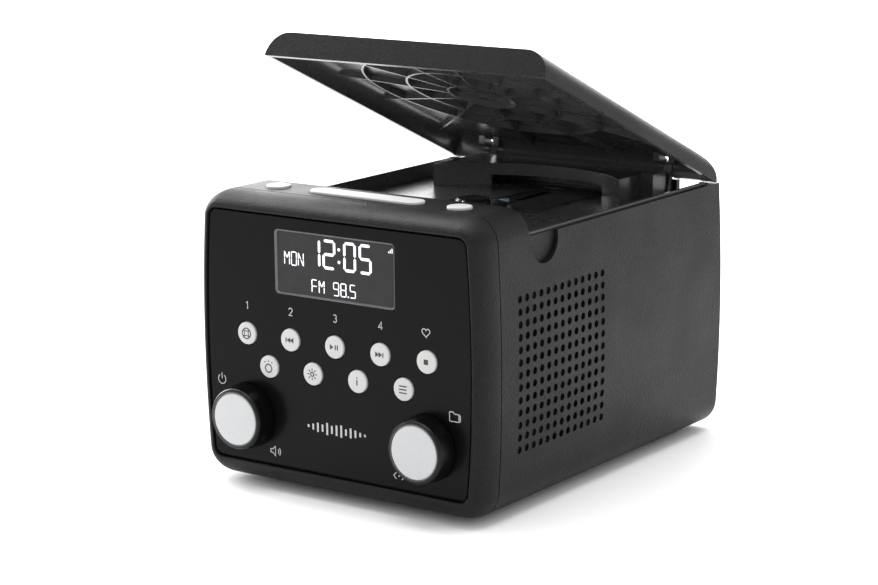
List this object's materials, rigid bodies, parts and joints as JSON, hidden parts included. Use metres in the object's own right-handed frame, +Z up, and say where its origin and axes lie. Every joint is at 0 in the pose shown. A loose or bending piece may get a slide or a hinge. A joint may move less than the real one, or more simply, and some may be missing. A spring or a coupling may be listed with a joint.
{
  "type": "tabletop radio",
  "caption": "Box-shaped tabletop radio with a rounded front bezel, round keys and knobs, a grille in each side, and a hinged lid over a disc player.",
  "frame": {"origin": "on the table, under the middle of the radio's width and depth", "axes": "+X to the viewer's right when facing the controls, +Y from the controls to the back, +Z up"},
  "size_m": [0.1418, 0.2004, 0.1806],
  "materials": {
    "cabinet_shell": "fine-grained black moulding",
    "rear_cover": "fine-grained black moulding",
    "front_bezel": "fine-grained black moulding",
    "fascia_panel": "polished black",
    "display_window": "polished black",
    "lcd_module": "dark display glass",
    "front_board": "green circuit laminate",
    "tact_switches": "switch cans",
    "left_encoder": "plated can",
    "right_encoder": "plated can",
    "top_strip": "fine-grained black moulding",
    "top_board": "green circuit laminate",
    "cd_deck": "fine-grained black moulding",
    "mechanism_cover": "fine-grained black moulding",
    "mechanism_chassis": "glass-filled moulding",
    "rubber_dampers": "soft rubber",
    "spindle_motor": "pressed can",
    "sled_rails": "ground rod",
    "sled_motor": "pressed can",
    "left_speaker_frame": "black basket and magnet",
    "right_speaker_frame": "black basket and magnet",
    "left_speaker_cone": "coated paper cone",
    "right_speaker_cone": "coated paper cone",
    "main_board": "green circuit laminate",
    "board_parts": "component bodies",
    "power_inlet": "black socket",
    "headphone_socket": "black socket",
    "rubber_feet": "soft rubber",
    "case_screws": "blackened steel",
    "lid_shell": "fine-grained black moulding",
    "hinge_pins": "ground rod",
    "ball_key": "satin white keys",
    "back_key": "satin white keys",
    "play_key": "satin white keys",
    "forward_key": "satin white keys",
    "stop_key": "satin white keys",
    "alarm_key": "satin white keys",
    "dimmer_key": "satin white keys",
    "info_key": "satin white keys",
    "menu_key": "satin white keys",
    "snooze_bar": "satin white keys",
    "left_top_key": "satin white keys",
    "right_top_key": "satin white keys",
    "left_push_plate": "nylon",
    "left_shaft": "turned shaft",
    "left_knob": "black knob",
    "left_knob_cap": "satin pale disc",
    "right_push_plate": "nylon",
    "right_shaft": "turned shaft",
    "right_knob": "black knob",
    "right_knob_cap": "satin pale disc",
    "turntable": "turned hub",
    "clamp_balls": "steel balls",
    "laser_sled": "black moulding",
    "laser_lens": "coated lens",
    "sled_pinion": "natural acetal",
    "aerial_elbow": "plated brass tube",
    "aerial_outer_tube": "plated brass tube",
    "aerial_inner_tube": "plated brass tube"
  },
  "bodies": {
    "case": {"cabinet_shell": "cabinet_shell", "rear_cover": "rear_cover", "front_bezel": "front_bezel", "fascia_panel": "fascia_panel", "display_window": "display_window", "lcd_module": "lcd_module", "front_board": "front_board", "tact_switches": "tact_switches", "left_encoder": "left_encoder", "right_encoder": "right_encoder", "top_strip": "top_strip", "top_board": "top_board", "cd_deck": "cd_deck", "mechanism_cover": "mechanism_cover", "mechanism_chassis": "mechanism_chassis", "rubber_dampers": "rubber_dampers", "spindle_motor": "spindle_motor", "sled_rails": "sled_rails", "sled_motor": "sled_motor", "left_speaker_frame": "left_speaker_frame", "right_speaker_frame": "right_speaker_frame", "left_speaker_cone": "left_speaker_cone", "right_speaker_cone": "right_speaker_cone", "main_board": "main_board", "board_parts": "board_parts", "power_inlet": "power_inlet", "headphone_socket": "headphone_socket", "rubber_feet": "rubber_feet", "case_screws": "case_screws"},
    "lid": {"lid_shell": "lid_shell", "hinge_pins": "hinge_pins"},
    "ball_key_body": {"ball_key": "ball_key"},
    "back_key_body": {"back_key": "back_key"},
    "play_key_body": {"play_key": "play_key"},
    "forward_key_body": {"forward_key": "forward_key"},
    "stop_key_body": {"stop_key": "stop_key"},
    "alarm_key_body": {"alarm_key": "alarm_key"},
    "dimmer_key_body": {"dimmer_key": "dimmer_key"},
    "info_key_body": {"info_key": "info_key"},
    "menu_key_body": {"menu_key": "menu_key"},
    "snooze_bar_body": {"snooze_bar": "snooze_bar"},
    "left_top_key_body": {"left_top_key": "left_top_key"},
    "right_top_key_body": {"right_top_key": "right_top_key"},
    "left_push": {"left_push_plate": "left_push_plate"},
    "left_turn": {"left_shaft": "left_shaft", "left_knob": "left_knob", "left_knob_cap": "left_knob_cap"},
    "right_push": {"right_push_plate": "right_push_plate"},
    "right_turn": {"right_shaft": "right_shaft", "right_knob": "right_knob", "right_knob_cap": "right_knob_cap"},
    "disc_spindle": {"turntable": "turntable", "clamp_balls": "clamp_balls"},
    "sled": {"laser_sled": "laser_sled", "laser_lens": "laser_lens"},
    "pinion": {"sled_pinion": "sled_pinion"},
    "aerial_swivel_body": {"aerial_elbow": "aerial_elbow"},
    "aerial_rod": {"aerial_outer_tube": "aerial_outer_tube"},
    "aerial_tip": {"aerial_inner_tube": "aerial_inner_tube"}
  },
  "joints": [
    {"name": "lid_hinge", "type": "hinge", "parent": "case", "child": "lid", "pos_m": [0, 0.09085, 0.1155], "axis": [-1, 0, 0], "range_deg": [-24, 21]},
    {"name": "ball_key_press", "type": "slide", "parent": "case", "child": "ball_key_body", "axis": [0, 1, 0], "range_m": [0, 0.0005], "stiffness_N_per_m": 1200, "springref_m": -0.0006},
    {"name": "back_key_press", "type": "slide", "parent": "case", "child": "back_key_body", "axis": [0, 1, 0], "range_m": [0, 0.0005], "stiffness_N_per_m": 1200, "springref_m": -0.0006},
    {"name": "play_key_press", "type": "slide", "parent": "case", "child": "play_key_body", "axis": [0, 1, 0], "range_m": [0, 0.0005], "stiffness_N_per_m": 1200, "springref_m": -0.0006},
    {"name": "forward_key_press", "type": "slide", "parent": "case", "child": "forward_key_body", "axis": [0, 1, 0], "range_m": [0, 0.0005], "stiffness_N_per_m": 1200, "springref_m": -0.0006},
    {"name": "stop_key_press", "type": "slide", "parent": "case", "child": "stop_key_body", "axis": [0, 1, 0], "range_m": [0, 0.0005], "stiffness_N_per_m": 1200, "springref_m": -0.0006},
    {"name": "alarm_key_press", "type": "slide", "parent": "case", "child": "alarm_key_body", "axis": [0, 1, 0], "range_m": [0, 0.0005], "stiffness_N_per_m": 1200, "springref_m": -0.0006},
    {"name": "dimmer_key_press", "type": "slide", "parent": "case", "child": "dimmer_key_body", "axis": [0, 1, 0], "range_m": [0, 0.0005], "stiffness_N_per_m": 1200, "springref_m": -0.0006},
    {"name": "info_key_press", "type": "slide", "parent": "case", "child": "info_key_body", "axis": [0, 1, 0], "range_m": [0, 0.0005], "stiffness_N_per_m": 1200, "springref_m": -0.0006},
    {"name": "menu_key_press", "type": "slide", "parent": "case", "child": "menu_key_body", "axis": [0, 1, 0], "range_m": [0, 0.0005], "stiffness_N_per_m": 1200, "springref_m": -0.0006},
    {"name": "snooze_bar_press", "type": "slide", "parent": "case", "child": "snooze_bar_body", "axis": [0, 0, -1], "range_m": [0, 0.0005], "stiffness_N_per_m": 1500, "springref_m": -0.0008},
    {"name": "left_top_key_press", "type": "slide", "parent": "case", "child": "left_top_key_body", "axis": [0, 0, -1], "range_m": [0, 0.0005], "stiffness_N_per_m": 1500, "springref_m": -0.0008},
    {"name": "right_top_key_press", "type": "slide", "parent": "case", "child": "right_top_key_body", "axis": [0, 0, -1], "range_m": [0, 0.0005], "stiffness_N_per_m": 1500, "springref_m": -0.0008},
    {"name": "left_knob_push", "type": "slide", "parent": "case", "child": "left_push", "axis": [0, 1, 0], "range_m": [0, 0.0005], "stiffness_N_per_m": 2500, "springref_m": -0.0008},
    {"name": "left_knob_turn", "type": "hinge", "parent": "left_push", "child": "left_turn", "pos_m": [-0.04462, -0.09065, 0.0305], "axis": [0, 1, 0], "continuous": true},
    {"name": "right_knob_push", "type": "slide", "parent": "case", "child": "right_push", "axis": [0, 1, 0], "range_m": [0, 0.0005], "stiffness_N_per_m": 2500, "springref_m": -0.0008},
    {"name": "right_knob_turn", "type": "hinge", "parent": "right_push", "child": "right_turn", "pos_m": [0.04462, -0.09065, 0.0305], "axis": [0, 1, 0], "continuous": true},
    {"name": "spindle_spin", "type": "hinge", "parent": "case", "child": "disc_spindle", "pos_m": [0, 0.00515, 0.1073], "axis": [0, 0, -1], "continuous": true},
    {"name": "sled_travel", "type": "slide", "parent": "case", "child": "sled", "axis": [0, 1, 0], "range_m": [0, 0.035]},
    {"name": "pinion_turn", "type": "hinge", "parent": "case", "child": "pinion", "pos_m": [-0.02065, 0.03415, 0.0923], "axis": [0, 0, 1], "range_deg": [-10, 415]},
    {"name": "aerial_swivel", "type": "hinge", "parent": "case", "child": "aerial_swivel_body", "pos_m": [0.052, 0.09185, 0.094], "axis": [0, 1, 0], "range_deg": [0, 180]},
    {"name": "aerial_tilt", "type": "hinge", "parent": "aerial_swivel_body", "child": "aerial_rod", "pos_m": [0.052, 0.09755, 0.094], "axis": [0, 0, -1], "range_deg": [0, 90]},
    {"name": "aerial_extend", "type": "slide", "parent": "aerial_rod", "child": "aerial_tip", "axis": [-1, 0, 0], "range_m": [0, 0.08]}
  ],
  "couplings": [
    {"joint": "pinion_turn", "follows": "sled_travel", "rad_per_m": 200}
  ]
}
